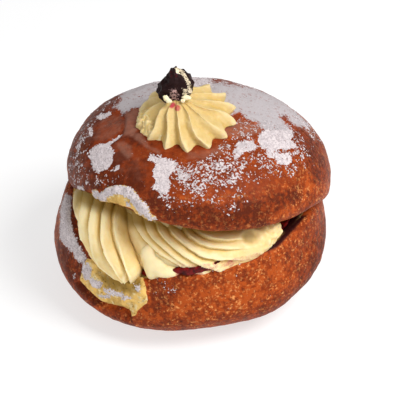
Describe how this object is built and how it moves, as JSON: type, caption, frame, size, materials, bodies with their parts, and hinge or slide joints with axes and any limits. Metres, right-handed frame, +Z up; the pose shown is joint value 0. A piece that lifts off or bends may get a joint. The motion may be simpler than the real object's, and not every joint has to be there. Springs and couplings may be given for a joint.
{
  "type": "cream-filled doughnut",
  "caption": "Round bun split and hinged at the back, with jam and ridged piped cream in its open mouth and a cream rosette with dark fruit on the lid.",
  "frame": {"origin": "on the surface that the doughnut stands on, under the middle of its box", "axes": "+Z up; the open mouth faces -Y; +X to the right of someone who looks into the mouth"},
  "size_m": [0.1048, 0.1014, 0.0954],
  "materials": {
    "crust": "browned fried dough, dull with an oily sheen, dusted with sugar",
    "jam": "wet dark red jam",
    "cream": "soft satin custard cream",
    "fruit": "dark moist fruit"
  },
  "bodies": {
    "root": {"bun": "crust", "jam": "jam", "cream_filling": "cream", "cream_rosette": "cream", "fruit_piece": "fruit"}
  },
  "joints": []
}
